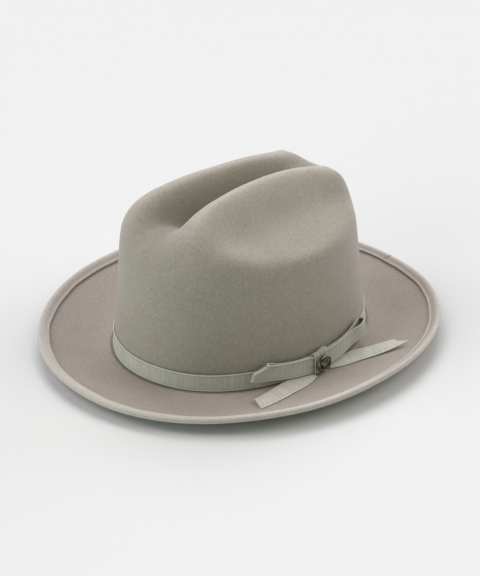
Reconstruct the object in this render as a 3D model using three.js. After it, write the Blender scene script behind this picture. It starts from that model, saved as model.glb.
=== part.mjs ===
import * as THREE from "three";

// Felt hat with a centre crease, two side dents and a ribbon bow. Sizes are in millimetres.
// The origin is the middle of the hat on the surface that it rests on.
// The front of the hat faces -Y, the wearer's left is +X, and +Z is up.

// Driving dimensions: felt, and the oval where the crown meets the brim
const FELT_THICKNESS = 2;
const FOOT_HALF_WIDTH = 84.7;
const FOOT_HALF_LENGTH = 104.5;
const FOOT_OVAL_POWER = 2.07;
const FOOT_FILLET = 1.2;
const CROWN_FORWARD = 0.8;

// Driving dimensions: brim
const BRIM_HALF_WIDTH = 143.1;
const BRIM_HALF_LENGTH = 160.3;
const BRIM_OVAL_POWER = 2.05;
const EDGE_HEIGHT = 11.3;
const EDGE_SIDE_CURL = 2.6;
const EDGE_FRONT_LIFT = 0.4;
const BRIM_CURL_POWER = 1.6;
const RESTING_RING_WIDTH = 8;
const EDGE_RADIUS = 2.4;
const WELT_WIDTH = 8.6;
const WELT_HEIGHT = 2.2;
const WELT_CORNER = 0.6;

// Driving dimensions: crown
const RIBBON_LEVEL = 3.2;
const LEAN_HEIGHT = 110;
const SHOULDER_POWER = 3.5;
const CROWN_SIDES = {
  front: { lean: 9.4, shoulder: 46.3 },
  side: { lean: 8.8, shoulder: 10.8 },
  back: { lean: 13.7, shoulder: 23 },
};
// The ridges beside the crease, from front to back: height, and distance from the crease's middle
const RIDGE_ROWS = [
  { place: -90, height: 111.5, aside: 39.5 },
  { place: -60, height: 125.7, aside: 27.6 },
  { place: -30, height: 130, aside: 23.7 },
  { place: 0, height: 130.1, aside: 20.7 },
  { place: 30, height: 128, aside: 19.8 },
  { place: 60, height: 122.4, aside: 21 },
  { place: 90, height: 114.3, aside: 30 },
];
const CREASE = {
  frontAside: -7.5,
  backAside: -1,
  depth: 32.5,
  frontPower: 1.45,
  backPower: 2.4,
  front: -112,
  frontRun: 80,
  back: 140,
  backRun: 142,
  corner: 3.1,
  frontNarrow: 0,
};
const DENT = {
  depth: 19.3,
  endDepth: 1.5,
  fall: 0.3,
  middle: -14.4,
  front: 61,
  back: 118,
  power: 3.5,
  slope: 13.4,
};
const SPINE_HALF_LENGTH = 35;

// Driving dimensions: ribbon band
const RIBBON_THICKNESS = 1;
const RIBBON_WIDTH = 12.7;
const GAP = 0.3;

// Driving dimensions: bow. Heights are above the resting surface and offsets out from the wall.
const BOW_MIDDLE = -6;
const BOW_BACK_OFFSET = 3.4;
const BOW_FRONT_OFFSET = 4.7;
const LOOPS = {
  front: {
    start: -8,
    end: -61.6,
    startHeight: 10.3,
    endHeight: 16.6,
    bulgeOffset: 6,
    bulgeFrom: 0.7,
    bulgeRun: 0.28,
    cornerCut: 9,
    tilt: 1.3,
  },
  back: {
    start: -4,
    end: 51.8,
    startHeight: 10.6,
    endHeight: 17.2,
    bulgeOffset: 8,
    bulgeFrom: 0.62,
    bulgeRun: 0.3,
    cornerCut: 3,
    tilt: 0.6,
  },
};
const CUT_FROM = 0.6;
const WRAP = {
  width: 14,
  low: 2.35,
  high: 19.2,
  backOffset: 1.6,
  frontOffset: 6.6,
  corner: 0.9,
  innerCorner: 0.3,
};

// Driving dimensions: loose ends of the ribbon on the brim. Each row gives both edges of the strip
// at one section: place across (x) and along (y), and how far the edge stands above the felt.
const TAIL_FRONT = [
  { innerX: 86.6, innerY: -13.9, innerLift: 0.5, outerX: 92.6, outerY: -13.6, outerLift: 0.4 },
  { innerX: 84.9, innerY: -26.5, innerLift: 1.6, outerX: 96.4, outerY: -25.5, outerLift: 0.4 },
  { innerX: 84.4, innerY: -40, innerLift: 3, outerX: 97.4, outerY: -39, outerLift: 0.4 },
  { innerX: 85.4, innerY: -52, innerLift: 2.9, outerX: 98.7, outerY: -53, outerLift: 0.4 },
  { innerX: 86.2, innerY: -63, innerLift: 2.6, outerX: 99.7, outerY: -67, outerLift: 0.4 },
  { innerX: 86.8, innerY: -72.9, innerLift: 2.3, outerX: 100.4, outerY: -80.5, outerLift: 0.4 },
];
const TAIL_BACK = [
  { innerX: 86.9, innerY: 1.9, innerLift: 0.5, outerX: 91.6, outerY: 1.6, outerLift: 0.4 },
  { innerX: 86.2, innerY: 15.5, innerLift: 1.6, outerX: 96.4, outerY: 13.4, outerLift: 0.4 },
  { innerX: 88, innerY: 29, innerLift: 2.6, outerX: 99.9, outerY: 25, outerLift: 0.5 },
  { innerX: 92.9, innerY: 41.6, innerLift: 2.6, outerX: 105, outerY: 37, outerLift: 0.8 },
  { innerX: 97.9, innerY: 52, innerLift: 2.8, outerX: 110, outerY: 48.5, outerLift: 1.6 },
  { innerX: 102.6, innerY: 60.3, innerLift: 3, outerX: 115.4, outerY: 61.5, outerLift: 3.6 },
];

// Driving dimensions: stud
const STUD_HEIGHT = 10.3;
const STUD_TILT = 4;
const STUD_OFFSET = 7;
const STUD_PROFILE = [
  { radius: 0, height: 0 },
  { radius: 5.9, height: 0 },
  { radius: 6.6, height: 0.8 },
  { radius: 6.6, height: 2.1 },
  { radius: 5.9, height: 2.9 },
  { radius: 5.2, height: 2.5 },
  { radius: 4.9, height: 2.1 },
  { radius: 3.6, height: 2.6 },
  { radius: 1.6, height: 3.2 },
  { radius: 0, height: 3.3 },
];

// Facets
const COLUMNS = 64;
const ROWS = { nose: 5, brim: 6, fillet: 3, wall: 4, shoulder: 5, top: 10 };
const INSIDE_ROWS = { brim: 5, fillet: 3, wall: 3, shoulder: 4, top: 9 };
const ACROSS = [-1, -0.1, 0.45, 1];
const LOOP_STEPS = { side: 9, fold: 6 };
const STUD_SIDES = 24;
const PASSES = 3;
const HALVINGS = 30;
const SMALL_ANGLE = 0.002;

const feltColour = 0x9c938a;
const ribbonColour = 0x8a887c;
const tailColour = 0xb8b4a9;
const studColour = 0x4b473e;

function signedPower(value, power) {
  return Math.sign(value) * Math.abs(value) ** power;
}

function smoothStep(value) {
  const t = Math.min(Math.max(value, 0), 1);
  return t * t * (3 - 2 * t);
}

function mix(low, high, share) {
  return low + (high - low) * share;
}

// A value between the rows of an evenly spaced table, on a smooth curve through all of them
function smoothValue(rows, name, place) {
  const spacing = rows[1].place - rows[0].place;
  const last = rows.length - 1;
  const values = rows.map((row) => row[name]);
  const before = 2 * values[0] - values[1];
  const after = 2 * values[last] - values[last - 1];
  const curve = [before, ...values, after];
  const position = Math.floor((place - rows[0].place) / spacing);
  const index = Math.min(Math.max(position, 0), last - 1);
  const t = (place - rows[index].place) / spacing;
  const [a, b, c, d] = curve.slice(index, index + 4);
  const bend = 2 * a - 5 * b + 4 * c - d;
  const turn = 3 * b - a - 3 * c + d;
  return (2 * b + (c - a) * t + bend * t ** 2 + turn * t ** 3) / 2;
}

// A point on the unit oval: the share of the half width and of the half length
function ovalDirection(angle, power) {
  return {
    x: signedPower(Math.cos(angle), 2 / power),
    y: signedPower(Math.sin(angle), 2 / power),
  };
}

// A size that goes smoothly from the front of the crown over its sides to the back
function aroundCrown(angle, name) {
  const end = Math.sin(angle) < 0 ? CROWN_SIDES.front : CROWN_SIDES.back;
  return CROWN_SIDES.side[name] * Math.cos(angle) ** 2 + end[name] * Math.sin(angle) ** 2;
}

// Outside of the crown's wall at a height, moved outwards by an offset. Crown places are measured
// from the middle of the crown, and onHat moves them to the hat's own axes.
function wallOutline(angle, height, offset = 0) {
  const share = Math.max(height - RIBBON_LEVEL, 0) / LEAN_HEIGHT;
  const inset = aroundCrown(angle, "lean") * share - offset;
  const oval = ovalDirection(angle, FOOT_OVAL_POWER);
  return { x: (FOOT_HALF_WIDTH - inset) * oval.x, y: (FOOT_HALF_LENGTH - inset) * oval.y };
}

function onHat(place, height) {
  return new THREE.Vector3(place.x, place.y - CROWN_FORWARD, height);
}

// The crease runs slightly askew: its middle line's place across at a place along the crown
function creaseMiddle(y) {
  const share = (y - CREASE.front) / (CREASE.back - CREASE.front);
  return mix(CREASE.frontAside, CREASE.backAside, share);
}

// Height of the creased and dented top, before its rounded edge
function topHeight(x, y) {
  const aside = smoothValue(RIDGE_ROWS, "aside", y);
  const fromMiddle = Math.abs(x - creaseMiddle(y));
  const frontEnd = Math.max(CREASE.front + CREASE.frontRun - y, 0) / CREASE.frontRun;
  const backEnd = Math.max(y - CREASE.back + CREASE.backRun, 0) / CREASE.backRun;
  const width = aside * (1 - CREASE.frontNarrow * Math.min(frontEnd, 1));
  const { corner } = CREASE;
  const sum = (fromMiddle / width) ** corner + (frontEnd + backEnd) ** corner;
  const out = Math.min(sum ** (1 / corner), 1);
  const along = smoothStep((y - CREASE.front) / (CREASE.back - CREASE.front));
  const power = mix(CREASE.frontPower, CREASE.backPower, along);
  const crease = CREASE.depth * ((1 + Math.cos(Math.PI * out)) / 2) ** power;
  const beyond = Math.max(fromMiddle - aside, 0);
  const reach = y < DENT.middle ? DENT.front : DENT.back;
  const bell = Math.exp(-((Math.abs(y - DENT.middle) / reach) ** DENT.power));
  const depth = DENT.endDepth + (DENT.depth - DENT.endDepth) * bell;
  const pressed = depth * (1 - Math.exp(-((beyond / DENT.slope) ** 2)));
  const dent = pressed + DENT.fall * bell * beyond;
  return smoothValue(RIDGE_ROWS, "height", y) - crease - dent;
}

// Height where the wall of the crown ends and its rounded shoulder begins
function wallTop(angle) {
  const shoulder = aroundCrown(angle, "shoulder");
  let height = LEAN_HEIGHT;
  for (let pass = 0; pass <= PASSES; pass += 1) {
    const place = wallOutline(angle, height);
    height = topHeight(place.x, place.y) - shoulder;
  }
  return height;
}

// A place on the rounded shoulder, from turn 0 at the wall to 1 at the top
function shoulderPlace(angle, turn) {
  const shoulder = aroundCrown(angle, "shoulder");
  const inwards = 1 - Math.abs(Math.cos((turn * Math.PI) / 2)) ** (2 / SHOULDER_POWER);
  const upwards = Math.sin((turn * Math.PI) / 2) ** (2 / SHOULDER_POWER);
  let height = wallTop(angle) + shoulder * upwards;
  let place = wallOutline(angle, height);
  for (let pass = 0; pass < PASSES; pass += 1) {
    place = wallOutline(angle, height);
    const shrink = 1 - (shoulder * inwards) / Math.hypot(place.x, place.y);
    place = { x: place.x * shrink, y: place.y * shrink };
    height = topHeight(place.x, place.y) - shoulder * (1 - upwards);
  }
  return { place, height };
}

// A point on the crown: part 0 to 1 is the wall, 1 to 2 the shoulder, 2 to 3 the top
function crownPoint(angle, part) {
  if (part < 1) {
    const foot = FELT_THICKNESS + FOOT_FILLET;
    const height = foot + (wallTop(angle) - foot) * part;
    return onHat(wallOutline(angle, height), height);
  }
  if (part <= 2) {
    const { place, height } = shoulderPlace(angle, part - 1);
    return onHat(place, height);
  }
  const rim = shoulderPlace(angle, 1).place;
  const spineY = SPINE_HALF_LENGTH * ovalDirection(angle, FOOT_OVAL_POWER).y;
  const x = mix(creaseMiddle(spineY), rim.x, 3 - part);
  const y = mix(spineY, rim.y, 3 - part);
  return onHat({ x, y }, topHeight(x, y));
}

// The outward direction of the crown's surface at a point. Near the middle of the top it comes
// from the heights, because the columns' points lie too close together there.
function crownNormal(angle, part) {
  const nearMiddle = 2.4;
  if (part > nearMiddle) {
    const here = crownPoint(angle, part);
    const y = here.y + CROWN_FORWARD;
    const slopeX = topHeight(here.x + 0.5, y) - topHeight(here.x - 0.5, y);
    const slopeY = topHeight(here.x, y + 0.5) - topHeight(here.x, y - 0.5);
    return new THREE.Vector3(-slopeX, -slopeY, 1).normalize();
  }
  const round = crownPoint(angle + SMALL_ANGLE, part).sub(crownPoint(angle - SMALL_ANGLE, part));
  const below = crownPoint(angle, Math.max(part - SMALL_ANGLE, 0));
  const upwards = crownPoint(angle, part + SMALL_ANGLE).sub(below);
  return round.cross(upwards).normalize();
}

// Height of the middle of the brim's thick edge
function edgeHeight(angle) {
  return EDGE_HEIGHT + EDGE_SIDE_CURL * Math.cos(2 * angle) - EDGE_FRONT_LIFT * Math.sin(angle);
}

// Middle line of the brim's thick edge in plan
function edgePlace(angle) {
  const oval = ovalDirection(angle, BRIM_OVAL_POWER);
  return {
    x: (BRIM_HALF_WIDTH - EDGE_RADIUS) * oval.x,
    y: (BRIM_HALF_LENGTH - EDGE_RADIUS) * oval.y,
  };
}

function brimWidth(angle) {
  const foot = onHat(wallOutline(angle, 0), 0);
  const edge = edgePlace(angle);
  return Math.hypot(edge.x - foot.x, edge.y - foot.y);
}

// A point on the brim: run is the distance out from the crown's foot, level 0 its underside
function brimPoint(angle, run, level) {
  const foot = onHat(wallOutline(angle, 0), 0);
  const edge = edgePlace(angle);
  const width = brimWidth(angle);
  const rise = edgeHeight(angle) - EDGE_RADIUS;
  const curlShare = Math.max((run - RESTING_RING_WIDTH) / (width - RESTING_RING_WIDTH), 0);
  return new THREE.Vector3(
    mix(foot.x, edge.x, run / width),
    mix(foot.y, edge.y, run / width),
    rise * curlShare ** BRIM_CURL_POWER + level,
  );
}

// Rounded nose of the brim, where the felt is folded over, from the top round to the underside
function nosePoints(angle) {
  const width = brimWidth(angle);
  const outermost = brimPoint(angle, width, EDGE_RADIUS);
  const inner = brimPoint(angle, width - 1, EDGE_RADIUS);
  const out = new THREE.Vector3(outermost.x - inner.x, outermost.y - inner.y, 0).normalize();
  const points = [];
  for (let row = 0; row <= ROWS.nose; row += 1) {
    const turn = Math.PI / 2 - (Math.PI * row) / ROWS.nose;
    const point = outermost.clone().addScaledVector(out, EDGE_RADIUS * Math.cos(turn));
    point.z += EDGE_RADIUS * Math.sin(turn);
    points.push(point);
  }
  return points;
}

// Top side of the felt at one angle, from the brim's nose in and up to the middle of the crown
function outsideColumn(angle) {
  const width = brimWidth(angle);
  const points = nosePoints(angle).reverse();
  const weltInner = width + EDGE_RADIUS - WELT_WIDTH;
  const weltTop = FELT_THICKNESS + WELT_HEIGHT;
  points.push(brimPoint(angle, (width + weltInner) / 2, weltTop + WELT_CORNER / 2));
  points.push(brimPoint(angle, weltInner + WELT_CORNER, weltTop));
  points.push(brimPoint(angle, weltInner, weltTop - WELT_CORNER));
  points.push(brimPoint(angle, weltInner, FELT_THICKNESS));
  for (let row = 1; row <= ROWS.brim; row += 1) {
    const run = weltInner + ((FOOT_FILLET - weltInner) * row) / ROWS.brim;
    points.push(brimPoint(angle, run, FELT_THICKNESS));
  }
  for (let row = 1; row < ROWS.fillet; row += 1) {
    const turn = (row / ROWS.fillet) * (Math.PI / 2);
    const run = FOOT_FILLET * (1 - Math.sin(turn));
    points.push(brimPoint(angle, run, FELT_THICKNESS + FOOT_FILLET * (1 - Math.cos(turn))));
  }
  for (let row = 0; row < ROWS.wall; row += 1) {
    points.push(crownPoint(angle, row / ROWS.wall));
  }
  for (let row = 0; row < ROWS.shoulder; row += 1) {
    points.push(crownPoint(angle, 1 + row / ROWS.shoulder));
  }
  for (let row = 0; row <= ROWS.top; row += 1) {
    points.push(crownPoint(angle, 2 + row / ROWS.top));
  }
  return points;
}

function insideCrownPoint(angle, part) {
  const point = crownPoint(angle, part);
  const normal = crownNormal(angle, part);
  if (part === 3) {
    normal.x = 0;
  }
  return point.addScaledVector(normal, -FELT_THICKNESS);
}

// Hidden side of the felt at one angle, from the middle of the crown down and out to the brim
function insideColumn(angle) {
  const points = [];
  for (let row = INSIDE_ROWS.top; row > 0; row -= 1) {
    points.push(insideCrownPoint(angle, 2 + row / INSIDE_ROWS.top));
  }
  for (let row = INSIDE_ROWS.shoulder; row > 0; row -= 1) {
    points.push(insideCrownPoint(angle, 1 + row / INSIDE_ROWS.shoulder));
  }
  for (let row = INSIDE_ROWS.wall; row > 0; row -= 1) {
    points.push(insideCrownPoint(angle, row / INSIDE_ROWS.wall));
  }
  const radius = FOOT_FILLET + FELT_THICKNESS;
  for (let row = 0; row <= INSIDE_ROWS.fillet; row += 1) {
    const turn = (row / INSIDE_ROWS.fillet) * (Math.PI / 2);
    const run = FOOT_FILLET - radius * Math.cos(turn);
    points.push(brimPoint(angle, run, radius * (1 - Math.sin(turn))));
  }
  const width = brimWidth(angle);
  points.push(brimPoint(angle, RESTING_RING_WIDTH, 0));
  for (let row = 1; row < INSIDE_ROWS.brim; row += 1) {
    const run = RESTING_RING_WIDTH + ((width - RESTING_RING_WIDTH) * row) / INSIDE_ROWS.brim;
    points.push(brimPoint(angle, run, 0));
  }
  return points;
}

// A closed surface from one closed loop of points for each column. Where the columns' halves meet
// their mirror images along a line, the strip after row seam is left out.
function surfaceFromColumns(columns, closed, seam = -1) {
  const positions = [];
  const rowCount = columns[0].length;
  const columnCount = closed ? columns.length : columns.length - 1;
  const addTriangle = (a, b, c) => {
    const size = b.clone().sub(a).cross(c.clone().sub(a)).length();
    if (size > 1e-6) {
      positions.push(a.x, a.y, a.z, b.x, b.y, b.z, c.x, c.y, c.z);
    }
  };
  for (let column = 0; column < columnCount; column += 1) {
    const here = columns[column];
    const next = columns[(column + 1) % columns.length];
    for (let row = 0; row < rowCount; row += 1) {
      const up = (row + 1) % rowCount;
      if (row !== seam) {
        addTriangle(here[row], next[row], next[up]);
        addTriangle(here[row], next[up], here[up]);
      }
    }
  }
  if (!closed) {
    addCap(columns[0], addTriangle, false);
    addCap(columns[columns.length - 1], addTriangle, true);
  }
  const geometry = new THREE.BufferGeometry();
  geometry.setAttribute("position", new THREE.Float32BufferAttribute(positions, 3));
  geometry.computeVertexNormals();
  return geometry;
}

function addCap(loop, addTriangle, atEnd) {
  for (let corner = 1; corner < loop.length - 1; corner += 1) {
    if (atEnd) {
      addTriangle(loop[0], loop[corner + 1], loop[corner]);
    } else {
      addTriangle(loop[0], loop[corner], loop[corner + 1]);
    }
  }
}

function feltGeometry() {
  const columns = [];
  for (let column = 0; column < COLUMNS; column += 1) {
    const angle = (2 * Math.PI * column) / COLUMNS;
    columns.push([...outsideColumn(angle), ...insideColumn(angle)]);
  }
  const seam = outsideColumn(0).length - 1;
  return surfaceFromColumns(columns, true, seam);
}

// Ribbon round the foot of the crown, standing off the felt by the gap
function bandGeometry() {
  const low = RIBBON_LEVEL;
  const high = RIBBON_LEVEL + RIBBON_WIDTH;
  const columns = [];
  for (let column = 0; column < COLUMNS; column += 1) {
    const angle = (2 * Math.PI * column) / COLUMNS;
    const corner = (height, offset) => onHat(wallOutline(angle, height, offset), height);
    columns.push([
      corner(low, GAP + RIBBON_THICKNESS),
      corner(high, GAP + RIBBON_THICKNESS),
      corner(high, GAP),
      corner(low, GAP),
    ]);
  }
  return surfaceFromColumns(columns, true);
}

// The wall's place across on the wearer's left, at a place along the hat, with an offset outwards
function besideWall(y, offset, height = RIBBON_LEVEL) {
  const share = Math.abs(y + CROWN_FORWARD) / (FOOT_HALF_LENGTH + offset);
  const lean = (CROWN_SIDES.side.lean * Math.max(height - RIBBON_LEVEL, 0)) / LEAN_HEIGHT;
  const place = (FOOT_HALF_WIDTH + offset) * (1 - share ** FOOT_OVAL_POWER) ** (1 / FOOT_OVAL_POWER);
  return place - lean;
}

// The outward direction of the wall, turned round the fold at a loop's end
function loopDirection(y, along, turn) {
  const lean = Math.atan2(besideWall(y - 1, 0) - besideWall(y + 1, 0), 2);
  const local = new THREE.Vector3(Math.cos(turn), along * Math.sin(turn), 0);
  return local.applyAxisAngle(new THREE.Vector3(0, 0, 1), lean);
}

// One section of a loop: its points across the ribbon, out over the face and back behind it. The
// ribbon is slanted off at the top of the loop's end, and its front layer leans out there.
function loopSection(loop, y, offset, turn) {
  const along = Math.sign(loop.end - loop.start);
  const share = (y - loop.start) / (loop.end - loop.start);
  const slope = (along * (loop.endHeight - loop.startHeight)) / Math.abs(loop.end - loop.start);
  const half = RIBBON_WIDTH / 2 / Math.hypot(1, slope);
  const front = turn < Math.PI / 2 ? 1 : 0;
  const point = (side, face) => {
    const upper = smoothStep((side + 0.1) / 1.1);
    const cut = loop.cornerCut * upper * smoothStep((share - CUT_FROM) / (1 - CUT_FROM));
    const place = y - slope * side * half - along * cut;
    const height = mix(loop.startHeight, loop.endHeight, share) + side * half;
    const lift = front * loop.tilt * side * smoothStep((share - 0.3) / 0.7);
    const middle = new THREE.Vector3(besideWall(place, offset + lift, height), place, height);
    const out = loopDirection(place, along, turn);
    return middle.addScaledVector(out, (face * RIBBON_THICKNESS) / 2);
  };
  const outer = ACROSS.map((side) => point(side, 1));
  const inner = ACROSS.map((side) => point(side, -1)).reverse();
  return [...outer, ...inner];
}

// A flat loop of the bow: out along the crown, round the fold at its end and back
function loopGeometry(loop) {
  const along = Math.sign(loop.end - loop.start);
  const foldRadius = (loop.bulgeOffset - BOW_BACK_OFFSET) / 2;
  const foldMiddle = loop.end - along * foldRadius;
  const columns = [];
  for (let step = 0; step < LOOP_STEPS.side; step += 1) {
    const y = mix(loop.start, foldMiddle, step / LOOP_STEPS.side);
    columns.push(loopSection(loop, y, BOW_BACK_OFFSET, Math.PI));
  }
  for (let step = 0; step <= LOOP_STEPS.fold; step += 1) {
    const turn = Math.PI * (1 - step / LOOP_STEPS.fold);
    const offset = BOW_BACK_OFFSET + foldRadius * (1 + Math.cos(turn));
    const y = foldMiddle + along * foldRadius * Math.sin(turn);
    columns.push(loopSection(loop, y, offset, turn));
  }
  for (let step = LOOP_STEPS.side - 1; step >= 0; step -= 1) {
    const share = step / LOOP_STEPS.side;
    const y = mix(loop.start, foldMiddle, share);
    const bulge = smoothStep((share - loop.bulgeFrom) / loop.bulgeRun);
    columns.push(loopSection(loop, y, mix(BOW_FRONT_OFFSET, loop.bulgeOffset, bulge), 0));
  }
  return surfaceFromColumns(along > 0 ? columns.reverse() : columns, false);
}

// The corners of an upright oblong with cut corners, given as offsets and heights
function cutOblong(near, far, low, high, corner) {
  return [
    [near, low + corner],
    [near + corner, low],
    [far - corner, low],
    [far, low + corner],
    [far, high - corner],
    [far - corner, high],
    [near + corner, high],
    [near, high - corner],
  ];
}

// The short turn of ribbon round both loops
function wrapGeometry() {
  const near = WRAP.backOffset;
  const far = WRAP.frontOffset;
  const skin = RIBBON_THICKNESS;
  const outer = cutOblong(near, far, WRAP.low, WRAP.high, WRAP.corner);
  const inner = cutOblong(near + skin, far - skin, WRAP.low + skin, WRAP.high - skin, WRAP.innerCorner);
  const places = [-1, 0, 1].map((side) => BOW_MIDDLE + (side * WRAP.width) / 2);
  const pointsAlong = ([offset, height]) =>
    places.map((y) => new THREE.Vector3(besideWall(y, offset, height), y, height));
  const loops = outer.map((corner, index) => [
    ...pointsAlong(corner),
    ...pointsAlong(inner[index]).reverse(),
  ]);
  return surfaceFromColumns(loops.reverse(), true);
}

// Height of the brim's top side under a point beside the crown
function brimTopAt(x, y) {
  let low = -Math.PI / 2;
  let high = Math.PI / 2;
  for (let pass = 0; pass < HALVINGS; pass += 1) {
    const angle = (low + high) / 2;
    const foot = brimPoint(angle, 0, 0);
    const edge = edgePlace(angle);
    const side = (edge.x - foot.x) * (y - foot.y) - (edge.y - foot.y) * (x - foot.x);
    if (side > 0) {
      low = angle;
    } else {
      high = angle;
    }
  }
  const foot = brimPoint(low, 0, 0);
  return brimPoint(low, Math.hypot(x - foot.x, y - foot.y), FELT_THICKNESS).z;
}

function tailGeometry(rows, along) {
  const columns = rows.map((row) => {
    const innerHeight = brimTopAt(row.innerX, row.innerY) + row.innerLift;
    const outerHeight = brimTopAt(row.outerX, row.outerY) + row.outerLift;
    const inner = new THREE.Vector3(row.innerX, row.innerY, innerHeight);
    const outer = new THREE.Vector3(row.outerX, row.outerY, outerHeight);
    const up = new THREE.Vector3(0, 0, RIBBON_THICKNESS);
    return [inner, outer, outer.clone().add(up), inner.clone().add(up)];
  });
  if (along < 0) {
    columns.reverse();
  }
  return surfaceFromColumns(columns, false);
}

// Domed metal stud with a raised rim, turned round the Y axis
function studGeometry() {
  const points = STUD_PROFILE.map(({ radius, height }) => new THREE.Vector2(radius, height));
  return new THREE.LatheGeometry(points, STUD_SIDES);
}

function material(color, roughness, metalness) {
  return new THREE.MeshStandardMaterial({ color, roughness, metalness });
}

function named(name, geometry, look) {
  const mesh = new THREE.Mesh(geometry, look);
  mesh.name = name;
  return mesh;
}

const feltLook = material(feltColour, 0.95, 0);
const ribbonLook = material(ribbonColour, 0.8, 0);
const tailLook = material(tailColour, 0.8, 0);
const studLook = material(studColour, 0.35, 1);

const bow = new THREE.Group();
bow.add(named("bow_front_loop", loopGeometry(LOOPS.front), ribbonLook));
bow.add(named("bow_back_loop", loopGeometry(LOOPS.back), ribbonLook));
bow.add(named("bow_wrap", wrapGeometry(), ribbonLook));
bow.add(named("tail_front", tailGeometry(TAIL_FRONT, -1), tailLook));
bow.add(named("tail_back", tailGeometry(TAIL_BACK, 1), tailLook));

const stud = named("stud", studGeometry(), studLook);
stud.position.set(besideWall(BOW_MIDDLE, STUD_OFFSET, STUD_HEIGHT), BOW_MIDDLE, STUD_HEIGHT);
stud.rotation.set(0, THREE.MathUtils.degToRad(-STUD_TILT), -Math.PI / 2);
bow.add(stud);

const hat = new THREE.Group();
hat.add(named("felt_body", feltGeometry(), feltLook));
hat.add(named("ribbon_band", bandGeometry(), ribbonLook));
hat.add(bow);

export default hat;
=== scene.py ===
"""Felt hat with a centre crease, two side dents, a ribbon band and a bow, on a plain pale floor.
Shapes are worked out in millimetres and scaled to metres when the meshes are made.
The sizes of the foot and the brim, CROWN_SIDES, RIDGE_ROWS, CREASE, DENT, CAMERA and LAMPS come
from scratch programs that fitted a model to the photo, and were then rounded or changed by hand.
TAILS and LOOPS follow points picked in the photo and projected on to the hat by another program.
The tones of the felt and the ribbon were set against the photo."""

import math

import bmesh
import bpy
import numpy as np
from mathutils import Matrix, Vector


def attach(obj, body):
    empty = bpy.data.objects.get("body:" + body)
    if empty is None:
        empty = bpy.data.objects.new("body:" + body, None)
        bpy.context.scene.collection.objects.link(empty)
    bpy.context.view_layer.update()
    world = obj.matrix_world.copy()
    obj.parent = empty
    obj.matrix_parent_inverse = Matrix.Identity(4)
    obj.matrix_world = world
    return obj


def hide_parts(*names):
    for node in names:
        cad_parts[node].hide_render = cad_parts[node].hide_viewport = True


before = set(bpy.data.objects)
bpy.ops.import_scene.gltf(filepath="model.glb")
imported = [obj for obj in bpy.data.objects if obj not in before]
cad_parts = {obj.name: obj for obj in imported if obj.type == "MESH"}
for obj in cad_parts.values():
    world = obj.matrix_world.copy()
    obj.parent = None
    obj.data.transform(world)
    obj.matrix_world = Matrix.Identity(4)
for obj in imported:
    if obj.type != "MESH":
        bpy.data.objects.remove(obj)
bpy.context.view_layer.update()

MM = 0.001

# Felt and the oval where the crown meets the brim
FELT_THICKNESS = 2.0
FOOT_HALF_WIDTH = 84.7
FOOT_HALF_LENGTH = 104.5
FOOT_OVAL_POWER = 2.07
FOOT_FILLET = 1.2
CROWN_FORWARD = 0.8

# Brim
BRIM_HALF_WIDTH = 143.1
BRIM_HALF_LENGTH = 160.3
BRIM_OVAL_POWER = 2.05
EDGE_HEIGHT = 11.3
EDGE_SIDE_CURL = 2.6
EDGE_FRONT_LIFT = 0.4
BRIM_CURL_POWER = 1.6
RESTING_RING_WIDTH = 8.0
EDGE_RADIUS = 2.4
WELT_WIDTH = 8.6
WELT_HEIGHT = 2.2
WELT_EDGE_RADIUS = 0.75
WELT_SLIT = {"depth": 3.0, "height": 0.35, "end_gap": 0.1}
WELT_ARCH = 0.25
WELT_RAMP = [(0.36, (0.450, 0.425, 0.375)), (0.64, (0.600, 0.570, 0.510))]
WELT_JOIN = {"angle": 85.3, "slant": 1.6, "half_width": 0.55, "depth": 0.5, "nose": 0.6}
# Share of the folded edge's lighter colour on its rows: the nose and the edge all round; on the flap,
# painted shade round the back and painted light towards the front, turning with the angle round the brim
WELT_TONE_AND_PAINTED_FLAP_LIGHT = {
    "nose": 0.82,
    "edge": 1.0,
    "shaded_flap": [0.55, 0.15, 0.0, 0.0, 0.25, 1.0],
    "lit_flap": [1.0, 1.0, 0.95, 0.95, 1.0, 1.0],
    "light_angle": -68.0,
    "light_from": 0.15,
    "light_run": 0.5,
}

# Crown
RIBBON_LEVEL = 3.2
LEAN_HEIGHT = 110.0
SHOULDER_POWER = 3.5
CROWN_SIDES = {
    "front": {"lean": 9.4, "shoulder": 46.3},
    "side": {"lean": 8.8, "shoulder": 10.8},
    "back": {"lean": 13.7, "shoulder": 23.0},
}
RIDGE_ROWS = {
    "place": [-90, -60, -30, 0, 30, 60, 90],
    "height": [111.5, 125.7, 130.0, 130.1, 128.0, 122.4, 114.3],
    "aside": [39.5, 27.6, 23.7, 20.7, 19.8, 21.0, 30.0],
}
CREASE = {
    "front_aside": -7.5,
    "back_aside": -1.0,
    "depth": 32.5,
    "front_power": 1.45,
    "back_power": 2.4,
    "front": -112.0,
    "front_run": 80.0,
    "back": 140.0,
    "back_run": 142.0,
    "corner": 3.1,
}
DENT = {
    "depth": 19.3,
    "end_depth": 1.5,
    "fall": 0.3,
    "middle": -14.4,
    "front": 61.0,
    "back": 118.0,
    "power": 3.5,
    "slope": 13.4,
}
SPINE_HALF_LENGTH = 35.0
UNEVENNESS = {"size": 0.35, "from": 20.0, "run": 30.0}
RIBBON_PINCH = {"depth": 0.6, "below": 0.5, "above": 4.0}
RIBBON_SHADOW = {"above": 0.6, "half_width": 0.6}
# Painted light: the crown is tinted greener than the brim, in place of the greenish light on its walls
CROWN_PAINTED_LIGHT_TINT = (0.965, 1.0, 0.955, 1.0)
FELT_RAMP = [(0.38, (0.280, 0.248, 0.213)), (0.62, (0.402, 0.359, 0.311))]
FELT_NOISE = {"mottle": (60.0, 3.0, 0.55), "grain": (650.0, 3.0, 0.65), "fibres": (1700.0, 4.0, 0.75)}
FELT_SHARES = {"mottle": 0.10, "grain": 0.50, "fibres": 0.40}
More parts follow.
